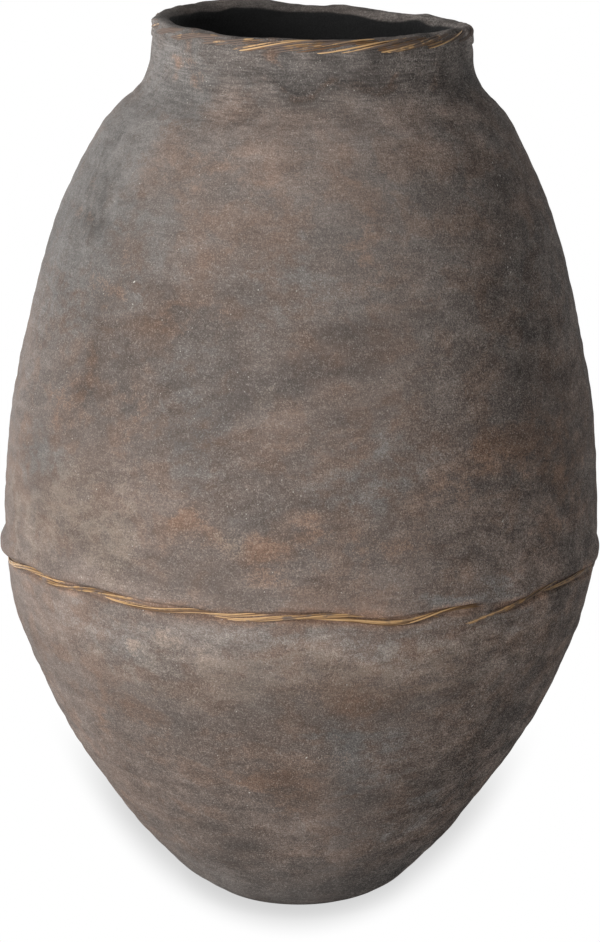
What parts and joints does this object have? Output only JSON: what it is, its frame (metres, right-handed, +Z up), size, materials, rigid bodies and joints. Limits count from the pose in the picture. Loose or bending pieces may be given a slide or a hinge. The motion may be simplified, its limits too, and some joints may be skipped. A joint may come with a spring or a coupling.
{
  "type": "greek pithos",
  "caption": "Tall round storage jar raised in clay courses, with a clay roll and straw rope closing the belly seam and a second straw rope bedded in the rolled lip.",
  "frame": {"origin": "centre of the flat foot, on the floor", "axes": "+Z up the jar's own axis, towards the mouth; -Y faces the picture's camera"},
  "size_m": [0.6, 0.6, 0.89],
  "materials": {
    "slip_clay": "matt, gritty fired clay under a dark grey-brown earth slip with rust and blue-grey patches",
    "straw": "dry golden straw twisted into rope, dusted with clay"
  },
  "bodies": {
    "root": {"base_slab": "slip_clay", "foot_course": "slip_clay", "lower_course": "slip_clay", "under_belly_course": "slip_clay", "over_belly_course": "slip_clay", "middle_course": "slip_clay", "shoulder_course": "slip_clay", "neck_collar": "slip_clay", "rim_lip": "slip_clay", "belly_band": "slip_clay", "belly_rope": "straw", "rim_rope": "straw"}
  },
  "joints": []
}
